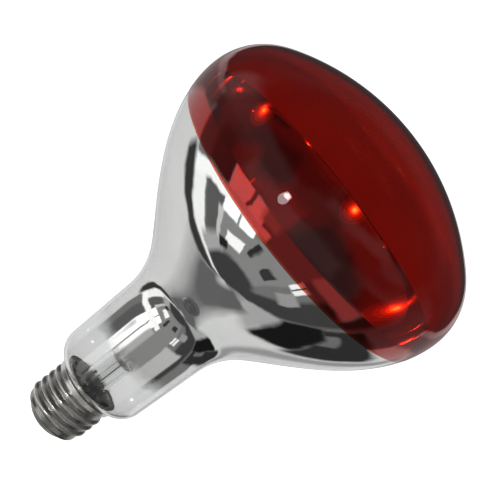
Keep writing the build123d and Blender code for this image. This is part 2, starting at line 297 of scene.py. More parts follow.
# Shallow unevenness of blown glass: the sum of four long waves round and along, always inwards; it
# dies away towards the neck and the middle of the face.
def blownWaves(grid):
    angle = np.arctan2(grid[..., 1], grid[..., 0])
    radius = np.hypot(grid[..., 0], grid[..., 1])
    height = grid[..., 2]
    waves = (np.sin(3 * angle + 0.045 * height + 0.6) + 0.8 * np.sin(5 * angle - 0.09 * height)
             + 0.7 * np.sin(2 * angle + 0.16 * height + 2.1) + 0.5 * np.sin(0.31 * height + angle))
    fade = smoothStep(bulb["waveLow"], bulb["waveHigh"], height) * np.clip(radius / bulb["stillRadius"], 0, 1)
    depth = bulb["waveDepth"] * (waves / 3 - 1) * fade
    away = grid[..., :2] / np.maximum(radius, samePoint)[..., None]
    moved = grid.copy()
    moved[..., :2] += away * depth[..., None]
    return moved


# The stretch of an outline between two heights, ending exactly on them.
def between(profile, low, high):
    inside = profile[(profile[:, 1] > low) & (profile[:, 1] < high)]
    ends = [[np.interp(h, profile[:, 1], profile[:, 0]), h] for h in (low, high)]
    return np.concatenate([ends[:1], inside, ends[1:]])


# Where the coat or the cement wets the glass there is no air between them, so those faces take a material
# that doesn't bend light.
def makeBulbGlass(material, wetted):
    outside, inside = bulbOutline(0), bulbOutline(bulb["wall"])
    profile = np.concatenate([outside[::-1], inside])
    height = profile[:, 1]
    wet = (height > layers["coatLow"]) | ((height > cap["cementLow"]) & (height < cap["cementHigh"]))
    wetRows = wet & np.roll(wet, -1) & (np.arange(len(profile)) < len(outside))
    grid = blownWaves(turned(profile, bulb["segments"]))
    makePiece("bulbGlass", "bulb_glass", material, grid, matched=wetted, matchedRows=wetRows)


layers = {
    "gap": 0.02, "thick": 0.12, "mirrorLow": 44.0, "mirrorHigh": 135.0,
    "coatThick": 0.08, "coatLow": 126.0, "feather": 2.0, "featherStart": 0.5,
}


# The film follows the inside of the glass; it reaches up behind the coat's edge.
def makeMirrorFilm(material):
    low, high = layers["mirrorLow"], layers["mirrorHigh"]
    near = bulb["wall"] + layers["gap"]
    outside = between(bulbOutline(near), low, high)
    inside = between(bulbOutline(near + layers["thick"]), low, high)
    grid = blownWaves(turned(np.concatenate([outside, inside[::-1]]), bulb["segments"]))
    makePiece("mirrorFilm", "mirror_film", material, grid, closeRows=True)


# The coat stands on the glass along its normal and thins out to nothing at its lower edge.
def makeRedCoat(material, wetted):
    glass = bulbOutline(-layers["gap"])
    inside = glass[glass[:, 1] >= layers["coatLow"]]
    slope = np.gradient(inside, axis=0)
    normal = np.stack([slope[:, 1], -slope[:, 0]], 1) / np.linalg.norm(slope, axis=1)[:, None]
    edge = layers["coatLow"]
    feather = smoothStep(edge - layers["featherStart"], edge + layers["feather"], inside[:, 1:])
    outside = inside + normal * layers["coatThick"] * feather
    outside[-1, 0] = 0
    profile = np.concatenate([outside[::-1], inside])
    onGlass = np.arange(len(profile)) >= len(outside)
    grid = blownWaves(turned(profile, bulb["segments"]))
    makePiece("redCoat", "red_filter_coat", material, grid, matched=wetted, matchedRows=onGlass)


cap = {
    "crest": 13.1, "root": 12.05, "pitch": 3.629, "start": 7.45, "startAngle": 90.0, "turns": 3.55,
    "fadeIn": 0.3, "fadeOut": 0.12, "wall": 0.3, "lipRadius": 10.4, "lipHeight": 4.4, "lipTop": 6.2,
    "collar": 13.15, "collarLow": 21.95, "stepLow": 21.3, "rim": 24.2, "segments": 160, "spacing": 0.16,
    "contact": 4.9, "contactLow": 0.5, "contactTop": 1.1, "eyelet": 1.5, "eyeletBore": 0.9,
    "eyeletTop": 3.2, "edge": 0.3, "floor": 5.0, "insulatorFoot": 5.3, "insulatorRise": 7.4, "fit": 0.02,
    "swell": (0.35, -0.45), "cementLow": 15.2, "cementHigh": 24.0, "cementGap": 0.03,
}


# Plain meridian of the shell: quarter-ellipse lip, straight root, a soft step, and the collar.
def shellMeridian():
    c = cap
    u = np.radians(np.linspace(270, 360, 14))
    lip = np.stack([c["lipRadius"] + (c["root"] - c["lipRadius"]) * np.cos(u),
                    c["lipTop"] + (c["lipTop"] - c["lipHeight"]) * np.sin(u)], 1)
    height = np.linspace(c["stepLow"], c["collarLow"] + 0.3, 12)
    rise = smoothStep(c["stepLow"], height[-1], height)
    step = np.stack([c["root"] + (c["collar"] - c["root"]) * rise, height], 1)
    rim = np.array([[c["collar"], c["rim"] - 0.12], [c["collar"] + 0.04, c["rim"]]])
    return evenly(np.concatenate([lip, step, rim]), c["spacing"])


# Height of the rolled thread over the root: half a cosine per pitch, faded at both ends of the helix.
def threadRise(grid):
    c = cap
    angle = np.degrees(np.arctan2(grid[..., 1], grid[..., 0]))
    fromStart = ((angle - c["startAngle"]) % 360) / 360
    turns = (grid[..., 2] - c["start"]) / c["pitch"]
    crestNumber = np.round(turns - fromStart)
    progress = crestNumber + fromStart
    wave = 0.5 + 0.5 * np.cos(2 * np.pi * (turns - fromStart))
    fade = smoothStep(-c["fadeIn"], c["fadeIn"], progress)
    fade *= 1 - smoothStep(c["turns"] - c["fadeOut"], c["turns"] + c["fadeOut"], progress)
    fade *= smoothStep(c["lipHeight"] + 0.4, c["lipTop"], grid[..., 2])
    fade *= 1 - smoothStep(c["stepLow"], c["collarLow"], grid[..., 2])
    return (c["crest"] - c["root"]) * wave * fade


# Rolled sheet: the meridian and a copy one wall inside it, both turned round and both pushed out by
# the thread.
def makeScrewShell(material):
    meridian = shellMeridian()
    slope = np.gradient(meridian, axis=0)
    slope /= np.linalg.norm(slope, axis=1)[:, None]
    inner = meridian + cap["wall"] * np.stack([-slope[:, 1], slope[:, 0]], 1)
    outside, inside = turned(meridian, cap["segments"]), turned(inner, cap["segments"])
    rise = threadRise(outside)[..., None]
    for surface in (outside, inside):
        away = surface[..., :2] / np.linalg.norm(surface[..., :2], axis=-1)[..., None]
        surface[..., :2] += away * rise
    grid = np.concatenate([outside, inside[::-1]])
    makePiece("screwShell", "screw_shell", material, grid, closeRows=True)


# Closed outline turned round: a cone that swells by half a sine, a quarter-ellipse lip, and the bore behind.
def makeCapInsulator(material):
    c = cap
    bore = c["root"] - c["wall"]
    u = np.radians(np.linspace(270, 360, 12))
    lip = np.stack([c["lipRadius"] + (bore - c["lipRadius"]) * np.cos(u),
                    c["lipTop"] + (c["lipTop"] - c["lipHeight"] - c["wall"]) * np.sin(u)], 1)
    t = np.linspace(0, 1, 24)[:, None]
    foot, edge = np.array([c["insulatorFoot"], c["contactTop"]]), np.array([c["lipRadius"], c["lipHeight"]])
    cone = foot + (edge - foot) * t + np.array(c["swell"]) * np.sin(np.pi * t)
    hole, seat = c["eyelet"] + c["fit"], c["contactTop"] + c["fit"]
    inside = [(bore, c["insulatorRise"]), (c["insulatorFoot"], c["floor"]), (hole, c["floor"]),
              (hole, seat), (c["insulatorFoot"] - 0.2, seat)]
    profile = np.concatenate([cone, lip, inside])
    grid = turned(evenly(np.concatenate([profile, profile[:1]]), 0.22)[:-1], 96)
    makePiece("capInsulator", "cap_insulator", material, grid, closeRows=True)


# Stamped plate with a turned-down edge and an eyelet that stands up from its middle.
def makeCentreContact(material):
    c = cap
    low, top, outer, bend = c["contactLow"], c["contactTop"], c["contact"], c["edge"]
    corners = [(c["eyeletBore"], c["eyeletTop"]), (c["eyelet"], c["eyeletTop"]), (c["eyelet"], top),
               (outer - 0.1, top), (outer, top - 0.12), (outer, low + bend), (outer - bend, low),
               (outer - 1 - bend, low + 0.06), (c["eyeletBore"], low + 0.1)]
    closed = np.array(corners + corners[:1])
    grid = turned(evenly(closed, 0.12)[:-1], 96)
    makePiece("centreContact", "centre_contact", material, grid, closeRows=True)


solder = {
    "reach": 2.7, "depth": 0.62, "lumps": 0.05, "plugTop": 1.78,
    "dropAcross": 0.62, "dropAround": 1.35, "dropHigh": 0.32, "dropLift": 0.33,
}


# Low dome at the tip: height = depth (1 - sqrt(1 - (r / reach)^2)), with three lumps round it and a
# plug above.
def makeContactSolder(material):
    reach, seat = solder["reach"], cap["contactLow"]
    radius = np.linspace(0, reach, 22)
    dome = solder["depth"] * (1 - np.sqrt(np.clip(1 - (radius / reach) ** 2, 0, 1)))
    under = np.stack([radius, np.clip(dome, 0, seat + 0.1)], 1)
    bore, top = cap["eyeletBore"] - 0.01, solder["plugTop"]
    plug = np.array([[bore, seat + 0.15], [bore, top - 0.18], [0.4, top - 0.03], [0, top]])
    grid = turned(np.concatenate([under, plug]), 72)
    angle = np.arctan2(grid[..., 1], grid[..., 0])
    lumps = solder["lumps"] * np.sin(3 * angle + 1) * np.hypot(grid[..., 0], grid[..., 1]) / reach
    grid[..., :2] *= 1 + lumps[..., None]
    makePiece("contactSolder", "contact_solder", material, grid)


# Flattened drop: an ellipsoid with two shallow waves, lying on the rim under the glass.
def makeSideSolder(material):
    v = np.linspace(0, np.pi, 20)[:, None]
    u = np.linspace(0, 2 * np.pi, 36, endpoint=False)[None]
    lump = 1 + (0.06 * np.sin(3 * u + 1) + 0.05 * np.sin(2 * u)) * np.sin(v) ** 2
    across = solder["dropAcross"] * lump * np.sin(v) * np.cos(u)
    around = solder["dropAround"] * lump * np.sin(v) * np.sin(u)
    drop = np.stack([across, around, solder["dropHigh"] * np.cos(v) + 0 * u], -1)
    drop += np.array([cap["collar"] + 0.1, 0, cap["rim"] + solder["dropLift"]])
    makePiece("sideSolder", "side_solder", material, turnAbout(drop, stem["angle"]))


# Ring of cement: the glass's outline on one side and the shell's bore on the other.
def makeBasingCement(material):
    c = cap
    low, high, gap = c["cementLow"], c["cementHigh"], c["cementGap"]
    outline = bulbOutline(-gap)
    underShoulder = outline[outline[:, 1] < high + 0.4]
    glassSide = between(underShoulder, low, high)
    bore, thread = c["collar"] - c["wall"] - gap, c["root"] - c["wall"] - gap
    corners = [(bore, high), (bore, c["stepLow"] + 0.9), (thread, c["stepLow"]), (thread, low)]
    closed = np.concatenate([glassSide, corners, glassSide[:1]])
    grid = turned(evenly(closed, 0.25)[:-1], 120)
    makePiece("basingCement", "basing_cement", material, grid, closeRows=True)


stem = {
    "angle": 110.0, "radius": 5.3, "wall": 1.0, "rimTop": 15.0, "flareLength": 11.5,
    "top": 42.0, "pressLow": 47.0, "pressTop": 57.0, "halfWidth": 6.3, "halfThick": 2.2, "squareness": 5.0,
    "crown": 0.6, "domeDrop": 1.5, "domeHigh": 1.3, "exhaust": 2.1, "exhaustBore": 1.4, "exhaustTip": 11.0,
    "lead": 3.4, "innerLead": 0.4, "sealWire": 0.25, "outerLead": 0.2, "sealLow": 40.0, "sealHigh": 56.0,
    "crownShrink": 0.3,
}
coil = {
    "height": 98.0, "ring": 13.0, "radius": 0.6, "wire": 0.11, "pitch": 0.46, "sweep": 300.0, "tail": 3.0,
    "turnPoints": 14, "supports": 5, "supportWire": 0.2, "loop": 0.95, "buttonDrop": 8.0, "button": 2.6,
    "buttonSquash": 0.8, "arbor": 1.5, "weld": 0.5, "weldHeight": 1.2,
}


# Half width, half thickness and squareness of the stem at a height: trumpet, tube, then flat pinch.
def stemSection(height, inset):
    s = stem
    t = np.clip((height - s["rimTop"]) / s["flareLength"], 0, 1)
    rim = bulb["sealRadius"] - bulb["wall"] - 0.05
    trumpet = rim + (s["radius"] - rim) * smoothStep(-0.15, 1, t)
    flat = smoothStep(s["top"] - 1, s["pressLow"], height)
    wide = trumpet + (s["halfWidth"] - s["radius"]) * flat - inset
    thick = trumpet + (s["halfThick"] - s["radius"]) * flat - inset
    return wide, thick, 2 + (s["squareness"] - 2) * flat


# Superellipse rings |x/a|^n + |y/b|^n = 1 at each height.
def stemRings(height, inset, segments):
    wide, thick, power = (v[:, None] for v in stemSection(height, inset))
    angle = np.linspace(0, 2 * np.pi, segments, endpoint=False)[None]
    c, s = np.cos(angle), np.sin(angle)
    x = wide * np.sign(c) * np.abs(c) ** (2 / power)
    y = thick * np.sign(s) * np.abs(s) ** (2 / power)
    return np.stack([x, y, np.broadcast_to(height[:, None], x.shape)], -1)


# Outside, a rounded crown over the pinch, and a bore that ends in a quarter-ellipse dome.
def makeStemTube(material):
    s = stem
    bottom, brim, boreTop = bulb["sealBottom"], s["pressTop"] - s["crown"], s["top"] - s["domeDrop"]
    outside = stemRings(np.linspace(bottom, brim, 110), 0, 96)
    u = np.linspace(0, 1, 10)[1:] * np.pi / 2
    crown = stemRings(brim + s["crown"] * np.sin(u), 0, 96)
    crown[..., :2] *= (1 - s["crownShrink"] * (1 - np.cos(u)))[:, None, None]
    inside = stemRings(np.linspace(boreTop, bottom, 70), s["wall"], 96)
    domeAngle = np.linspace(np.pi / 2, 0, 10)[:-1]
    dome = stemRings(np.full(9, boreTop), s["wall"], 96)
    dome[..., :2] *= np.cos(domeAngle)[:, None, None]
    dome[..., 2] += s["domeHigh"] * np.sin(domeAngle)[:, None]
    dome[0, :, :2] *= 0
    grid = np.concatenate([dome, inside, outside, crown])
    makePiece("stemTube", "stem_tube", material, turnAbout(grid, s["angle"]))


# Round-ended tube, tipped off at the bottom and open into the stem's bore at the top.
def makeExhaustTube(material):
    s = stem
    top = s["top"] - 0.6
    tip = s["exhaustTip"] + s["exhaust"]
    outer = arcPoints((0, tip), s["exhaust"], 90, 0, 14)
    inner = arcPoints((0, tip), s["exhaustBore"], 0, 90, 12)
    outerSide = np.array([[s["exhaust"], h] for h in np.linspace(tip + 0.5, top, 30)])
    innerSide = np.array([[s["exhaustBore"], h] for h in np.linspace(top, tip + 0.5, 30)])
    grid = turned(np.concatenate([outer, outerSide, innerSide, inner]), 48)
    makePiece("exhaustTube", "exhaust_tube", material, grid)


# Glass cane that swells by an exponential where it meets the pinch, and a button: a squashed ball.
def makeArbor(material):
    buttonHeight = coil["height"] - coil["buttonDrop"]
    low, top = stem["pressTop"] + 0.05, buttonHeight - 2.1
    height = np.linspace(low, top, 60)
    radius = coil["arbor"] + coil["weld"] * np.exp(-(height - low) / coil["weldHeight"])
    rod = np.concatenate([[[0, low]], np.stack([radius, height], 1), [[0, top]]])
    makePiece("arborRod", "arbor_rod", material, turned(rod, 40))
    u = np.linspace(-np.pi / 2, np.pi / 2, 28)
    rise = coil["buttonSquash"] * coil["button"] * np.sin(u)
    button = np.stack([coil["button"] * np.cos(u), buttonHeight + rise], 1)
    makePiece("arborButton", "arbor_button", material, turned(button, 48))


def ringPoint(degrees):
    angle = np.radians(degrees)
    return np.array([coil["ring"] * np.cos(angle), coil["ring"] * np.sin(angle), coil["height"]])


# Where the coil leaves its ring, and the direction of its straight tail.
def coilEnd(side):
    degrees = -90 + side * (360 - coil["sweep"]) / 2
    tail = np.radians(degrees - side * 90)
    return ringPoint(degrees), np.array([np.cos(tail), np.sin(tail), 0])


# Straight tail, most of a circle, straight tail.
def coilSpine():
    start, startTail = coilEnd(1)
    end, endTail = coilEnd(-1)
    opening = (360 - coil["sweep"]) / 2
    ring = np.array([ringPoint(degrees) for degrees in np.linspace(opening - 90, 270 - opening, 200)])
    return np.concatenate([[start + startTail * coil["tail"]], ring, [end + endTail * coil["tail"]]])


# Helix about the spine: spine + r (cos a . outward + sin a . up), with a growing by a turn per pitch.
def makeFilament(material):
    spine = evenly(coilSpine(), coil["pitch"] / coil["turnPoints"])
    forward = np.gradient(spine, axis=0)
    forward /= np.linalg.norm(forward, axis=1)[:, None]
    outward = np.cross(forward, upwards)
    angle = (np.arange(len(spine)) * 2 * np.pi / coil["turnPoints"])[:, None]
    away = np.cos(angle) * outward + np.sin(angle) * upwards
    helix = spine + (coil["radius"] - coil["wire"]) * away
    grid = tube(helix, away, coil["wire"], sides=6)
    makePiece("filamentCoil", "filament", material, turnAbout(grid, stem["angle"]))


# On each side a stiff inner lead, the wire sealed in the pinch, and a limp outer lead.
def makeLeads(nickel, borated, copper):
    s = stem
    for side, name in ((1, "side"), (-1, "centre")):
        end, tail = coilEnd(side)
        middle = end + tail * (coil["tail"] / 2)
        foot = np.array([side * s["lead"], 0, s["pressTop"] - 1])
        path = roundedCorners([foot, foot + (0, 0, 4), foot + (0, 0, 12), middle - (0, 0, 8),
                               middle - (0, 0, 4), middle + (0, 0, 0.2)], 0.5)
        plane = np.cross(upwards, middle - foot)
        wire = turnAbout(tube(path, plane, s["innerLead"], 14), s["angle"])
        makePiece(name + "InnerLead", name + "_inner_lead", nickel, wire)
        seal = np.array([(side * s["lead"], 0, h) for h in np.linspace(s["sealLow"], s["sealHigh"], 12)])
        wire = turnAbout(tube(seal, sideways, s["sealWire"], 12), s["angle"])
        makePiece(name + "SealWire", name + "_seal_wire", borated, wire)
    # the side lead drops, crosses under the seal and comes up between the cement and the shell
    lead, joint = s["lead"], s["sealLow"]
    channel = (bulb["sealRadius"] + cap["root"] - cap["wall"]) / 2
    routes = {
        "side": [(lead, 0, joint), (lead, 0, 14), (lead + 0.3, 0, 10.8), (channel - 0.5, 0, 10.6),
                 (channel, 0, 13.5), (channel, 0, 21.6), (12.5, 0, 23.4), (12.5, 0, 24.2)],
        "centre": [(-lead, 0, joint), (-lead, 0, 13), (0.1 - lead, 0, 9.4), (0, 0, 7.2), (0, 0, 3.0),
                   (0, 0, 0.45)],
    }
    for name, corners in routes.items():
        wire = turnAbout(tube(roundedCorners(corners, 0.4), sideways, s["outerLead"], 12), s["angle"])
        makePiece(name + "OuterLead", name + "_outer_lead", copper, wire)


# Each wire leaves the button, turns up and ends in an open pigtail round the coil.
def makeSupports(material):
    c = coil
    button = c["height"] - c["buttonDrop"]
    step = c["sweep"] / (c["supports"] + 1)
    for number in range(1, c["supports"] + 1):
        degrees = -90 + (360 - c["sweep"]) / 2 + step * number
        rise = roundedCorners([(1.4, 0, button), (9.5, 0, button + 1.4),
                               (c["ring"] + 0.1, 0, c["height"] - 3.2),
                               (c["ring"], 0, c["height"] - c["loop"])], 0.4)
        turn = np.radians(np.linspace(-90, 220, 40))[1:]
        loop = np.stack([np.cos(turn), 0 * turn, np.sin(turn)], 1) * c["loop"] + (c["ring"], 0, c["height"])
        path = evenly(np.concatenate([rise, loop]), 0.2)
        grid = tube(path, sideways, c["supportWire"], 10)
        makePiece(f"filamentSupport{number}", f"filament_support_{number}", material,
                  turnAbout(grid, stem["angle"] + degrees))


# clear or tinted glass: full transmission with faint uneven colour and polish
def glassy(name, look):
    material, tree, shader, where = newMaterial(name)
    patch = noise(tree, where, look["grain"])
    colour = blendColours(tree, spread(tree, patch, 0, 1), look["colour"], look["worn"])
    tree.links.new(colour, shader.inputs["Base Color"])
    rough = spread(tree, patch, look["rough"], look["rough"] + look["roughSpread"])
    tree.links.new(rough, shader.inputs["Roughness"])
    shader.inputs["Transmission Weight"].default_value = 1
    shader.inputs["IOR"].default_value = look["ior"]
    return material


# evaporated aluminium: a mirror whose lower edge thins out over a few millimetres
def silvered(name, look):
    material = speckled(name, look)
    tree = material.node_tree
    shader = tree.nodes["Principled BSDF"]
    where = tree.nodes["Texture Coordinate"].outputs["Object"]
    split = tree.nodes.new("ShaderNodeSeparateXYZ")
    tree.links.new(where, split.inputs["Vector"])
    ragged = spread(tree, noise(tree, where, look["edgeGrain"]), -look["edgeRag"], look["edgeRag"])
    height = mathNode(tree, "ADD", split.outputs["Z"], ragged)
    cover = spread(tree, height, 0, 1, look["edgeLow"], look["edgeHigh"])
    tree.links.new(cover, shader.inputs["Alpha"])
    return material


opaqueLooks = {
    "nickelPlate": {
        "colour": (0.86, 0.85, 0.82), "worn": (0.72, 0.71, 0.68),
        "rough": 0.27, "roughSpread": 0.06, "metal": 1.0, "grain": 260, "bump": 0.12},
    "blackVitrite": {
        "colour": (0.010, 0.010, 0.012), "worn": (0.03, 0.028, 0.026),
        "rough": 0.22, "roughSpread": 0.1, "metal": 0.0, "grain": 420, "bump": 0.25},
    "tinnedBrass": {
        "colour": (0.62, 0.6, 0.56), "worn": (0.45, 0.43, 0.38),
        "rough": 0.32, "roughSpread": 0.1, "metal": 1.0, "grain": 600, "bump": 0.3},
    "softSolder": {
        "colour": (0.6, 0.61, 0.62), "worn": (0.4, 0.41, 0.42),
        "rough": 0.3, "roughSpread": 0.12, "metal": 1.0, "grain": 700, "bump": 0.5},
    "cappingCement": {
        "colour": (0.8, 0.76, 0.68), "worn": (0.66, 0.61, 0.52),
        "rough": 0.9, "roughSpread": 0.05, "metal": 0.0, "grain": 900, "bump": 0.8},
    "tungstenCoil": {
        "colour": (0.16, 0.16, 0.17), "worn": (0.08, 0.08, 0.09),
        "rough": 0.45, "roughSpread": 0.1, "metal": 1.0, "grain": 1500, "bump": 0.2},
    "copperWire": {
        "colour": (0.24, 0.17, 0.14), "worn": (0.14, 0.11, 0.1),
        "rough": 0.35, "roughSpread": 0.1, "metal": 1.0, "grain": 900, "bump": 0.2},
    "boratedWire": {
        "colour": (0.42, 0.1, 0.05), "worn": (0.25, 0.05, 0.03),
        "rough": 0.35, "roughSpread": 0.08, "metal": 0.6, "grain": 900, "bump": 0.2},
    "nickelWire": {
        "colour": (0.5, 0.48, 0.44), "worn": (0.36, 0.34, 0.31),
        "rough": 0.34, "roughSpread": 0.1, "metal": 1.0, "grain": 900, "bump": 0.2},
    "molybdenumWire": {
        "colour": (0.4, 0.4, 0.42), "worn": (0.26, 0.26, 0.28),
        "rough": 0.38, "roughSpread": 0.1, "metal": 1.0, "grain": 1200, "bump": 0.2},
}
mirrorLook = {"colour": (0.92, 0.92, 0.91), "worn": (0.86, 0.86, 0.85), "rough": 0.0, "roughSpread": 0.01,
              "metal": 1.0, "grain": 60, "bump": 0.0, "edgeGrain": 90, "edgeRag": 0.0012,
              "edgeLow": 0.0455, "edgeHigh": 0.053}  # heights in metres between which it fades in
glassLooks = {
    "clearGlass": {"colour": (0.99, 0.995, 0.99), "worn": (0.97, 0.98, 0.975), "rough": 0.0,
                   "roughSpread": 0.01, "ior": 1.5, "grain": 40},
    "stemGlass": {"colour": (0.98, 0.985, 0.98), "worn": (0.95, 0.96, 0.955), "rough": 0.0,
                  "roughSpread": 0.02, "ior": 1.55, "grain": 120},
    "wettedGlass": {"colour": (0.99, 0.995, 0.99), "worn": (0.97, 0.98, 0.975), "rough": 0.0,
                    "roughSpread": 0.0, "ior": 1.0, "grain": 40},
}
# the red stain loses light evenly at its outer and its inner face
coatLooks = {
    "rubyCoat": {"colour": (0.7, 0.085, 0.03), "worn": (0.64, 0.07, 0.024), "rough": 0.0,
                 "roughSpread": 0.012, "ior": 1.5, "grain": 50},
    "rubyCoatInside": {"colour": (0.7, 0.085, 0.03), "worn": (0.64, 0.07, 0.024), "rough": 0.0,
                       "roughSpread": 0.0, "ior": 1.0, "grain": 50},
}


# painted shade: the plating takes the dark colour inside the deep radius and keeps its own colour outside the
# other radius
grooveShadeLook = {"dark": (0.3, 0.29, 0.27), "deep": 0.0119, "unshaded": 0.0128}  # radii in metres


# painted shade in the thread's grooves and at the lip: the plating's colour darkens nearer the axis
def paintGrooveShade(material):
    tree = material.node_tree
    shader = tree.nodes["Principled BSDF"]
    flat = tree.nodes.new("ShaderNodeVectorMath")
    flat.operation = "MULTIPLY"
    tree.links.new(tree.nodes["Texture Coordinate"].outputs["Object"], flat.inputs[0])
    flat.inputs[1].default_value = (1, 1, 0)
    distance = tree.nodes.new("ShaderNodeVectorMath")
    distance.operation = "LENGTH"
    tree.links.new(flat.outputs["Vector"], distance.inputs[0])
    unshaded = spread(tree, distance.outputs["Value"], 0, 1, grooveShadeLook["deep"], grooveShadeLook["unshaded"])
    node = tree.nodes.new("ShaderNodeMix")
    node.data_type = "RGBA"
    node.inputs["A"].default_value = (*grooveShadeLook["dark"], 1)
    tree.links.new(shader.inputs["Base Color"].links[0].from_socket, node.inputs["B"])
    tree.links.new(unshaded, node.inputs["Factor"])
    tree.links.new(node.outputs["Result"], shader.inputs["Base Color"])


print("materials")
opaque = {name: speckled(name, look) for name, look in opaqueLooks.items()}
# the cap's plating gets painted shade in its thread grooves
paintGrooveShade(opaque["nickelPlate"])
clear = {name: glassy(name, look) for name, look in {**glassLooks, **coatLooks}.items()}

print("bulb")
makeBulbGlass(clear["clearGlass"], clear["wettedGlass"])
makeMirrorFilm(silvered("mirrorAluminium", mirrorLook))
makeRedCoat(clear["rubyCoat"], clear["rubyCoatInside"])

print("screw cap")
makeScrewShell(opaque["nickelPlate"])
makeCapInsulator(opaque["blackVitrite"])
makeCentreContact(opaque["tinnedBrass"])
makeContactSolder(opaque["softSolder"])
makeSideSolder(opaque["softSolder"])
makeBasingCement(opaque["cappingCement"])

print("stem, leads and filament")
makeStemTube(clear["stemGlass"])
makeExhaustTube(clear["stemGlass"])
makeArbor(clear["stemGlass"])
makeFilament(opaque["tungstenCoil"])
makeLeads(opaque["nickelWire"], opaque["boratedWire"], opaque["copperWire"])
makeSupports(opaque["molybdenumWire"])


# the studio: a floor, a sky of soft boxes and cards given by direction, and a few lamps
studio = {
    "sky": 0.18, "floorDepth": 0.16, "floorSize": 14.0, "floorColour": (0.93, 0.93, 0.92),
    "floorMarks": (0.9, 0.9, 0.89), "floorGrain": 3, "floorGlow": 1.0, "lampAim": 0.12, "bendBelow": 2.0,
}


# pale floor that glows evenly; reflections and rays through glass pass it by and meet the sky instead
def makeFloor():
    material, tree, shader, where = newMaterial("studioFloor")
    marks = noise(tree, where, studio["floorGrain"])
    colour = blendColours(tree, marks, studio["floorColour"], studio["floorMarks"])
    tree.links.new(colour, shader.inputs["Base Color"])
    shader.inputs["Roughness"].default_value = 0.9
    shader.inputs["Emission Color"].default_value = (1, 1, 1, 1)
    shader.inputs["Emission Strength"].default_value = studio["floorGlow"]
    # seen from below, the floor is clear, so that the cap's tip can be looked at
    below = tree.nodes.new("ShaderNodeNewGeometry").outputs["Backfacing"]
    clearSide = tree.nodes.new("ShaderNodeBsdfTransparent")
    sides = tree.nodes.new("ShaderNodeMixShader")
    tree.links.new(below, sides.inputs["Fac"])
    tree.links.new(shader.outputs["BSDF"], sides.inputs[1])
    tree.links.new(clearSide.outputs["BSDF"], sides.inputs[2])
    tree.links.new(sides.outputs["Shader"], tree.nodes["Material Output"].inputs["Surface"])
    half, low = studio["floorSize"] / 2, -studio["floorDepth"]
    mesh = bpy.data.meshes.new("studioFloor")
    mesh.from_pydata([(-half, -half, low), (half, -half, low), (half, half, low), (-half, half, low)],
                     [], [(0, 1, 2, 3)])
    mesh.materials.append(material)
    floor = bpy.data.objects.new("studioFloor", mesh)
    scene.collection.objects.link(floor)
    floor.visible_glossy = False
    floor.visible_transmission = False


# each patch of the sky, in degrees: compass bearing (0 behind the lamp, 90 to its right), rise above level,
# half width, half height and width of its soft edge; then its brightness. Later ones lie over earlier ones.
skyPatches = [
    ("ceiling", 0, 70, 180, 45, 30, 0.045),
    ("wallBack", 0, 12, 60, 20, 8, 0.06),
    ("wallLeft", -110, 15, 50, 15, 10, 0.27),
    ("wallLeftGlow", -72, 12, 9, 14, 8, 0.4),
    ("wallFront", 170, 32, 25, 16, 10, 0.16),
    ("wallFrontDark", 125, 26, 22, 12, 10, 0.08),
    ("wallHigh", 140, 52, 40, 9, 8, 0.3),
    ("wallRight", 100, 38, 14, 8, 8, 0.22),
    ("paper", -10, -52, 68, 38, 3, 0.7),
    ("paperFar", -8, -11, 66, 6, 3, 0.34),
    ("paperEdge", -8, -4, 66, 2.5, 2, 0.6),
    ("paperLow", -40, -74, 32, 8, 10, 0.4),
    ("paperFront", 70, -72, 26, 10, 8, 0.42),
    ("paperFold", -69, -70, 7, 34, 4, 0.04),
    ("stripLeft", -86, -70, 9, 27, 3, 1.0),
    ("tableLeft", -112, -44, 15, 34, 6, 0.11),
    ("tableFront", -160, -66, 36, 16, 4, 0.25),
    ("tableNear", -108, -78, 24, 9, 4, 0.42),
    ("windowPane", -144, -38, 20, 16, 1.5, 1.35),
    ("windowBar", -148, -38, 1.6, 17, 1, 0.3),
    ("windowSill", -144, -45, 21, 1.2, 1, 0.35),
    ("paneStrip", -128, -43, 50, 4, 2, 1.1),
    ("tableGlow", -172, -22, 12, 14, 6, 0.45),
    ("paneLow", -150, -66, 14, 4, 1.5, 1.1),
    ("clutterOne", -175, -60, 4, 6, 1.5, 0.03),
    ("clutterTwo", -122, -62, 4, 9, 2, 0.6),
    ("clutterThree", -132, -72, 9, 3, 2, 0.02),
    ("tableRight", 162, -45, 20, 36, 5, 0.25),
    ("tableShade", 105, -40, 16, 44, 6, 0.05),
    ("tableWarm", 122, -27, 20, 8, 4, 0.5),
    ("paneSmall", 136, -48, 7, 6, 1.5, 1.0),
    ("paneSmallBar", 136, -48, 1, 6, 0.6, 0.1),
    ("clutterFour", 158, -62, 7, 4, 1.5, 0.04),
    ("blackCard", 66, -55, 22, 8, 3, 0.01),
    ("darkCard", 62, -38, 24, 10, 3, 0.03),
    ("greyCard", 70, -44, 9, 3, 2, 0.16),
    ("cardEdge", 124, -59, 9, 5, 2, 0.33),
    ("foldShade", 30, -35, 5, 14, 4, 0.34),
    ("tableFar", -162, -9, 30, 11, 6, 0.42),
    ("tableFarRight", 158, -7, 16, 12, 6, 0.34),
    ("lampShadow", 180, -84, 95, 7, 3, 0.05),
    ("underLamp", 0, -80, 60, 7, 5, 0.13),
    ("lampGlow", -163, 6, 1.8, 3.6, 2.2, 22.0),
]
skyWarp = {"scale": 3.0, "detail": 3.0, "reach": 0.16}  # noise that makes the patches' edges uneven


# 1 within half of a middle angle and 0 past the soft edge
def angleWindow(tree, away, half, edge):
    size = mathNode(tree, "ABSOLUTE", away)
    return spread(tree, size, 1, 0, np.radians(half - edge / 2), np.radians(half + edge / 2))


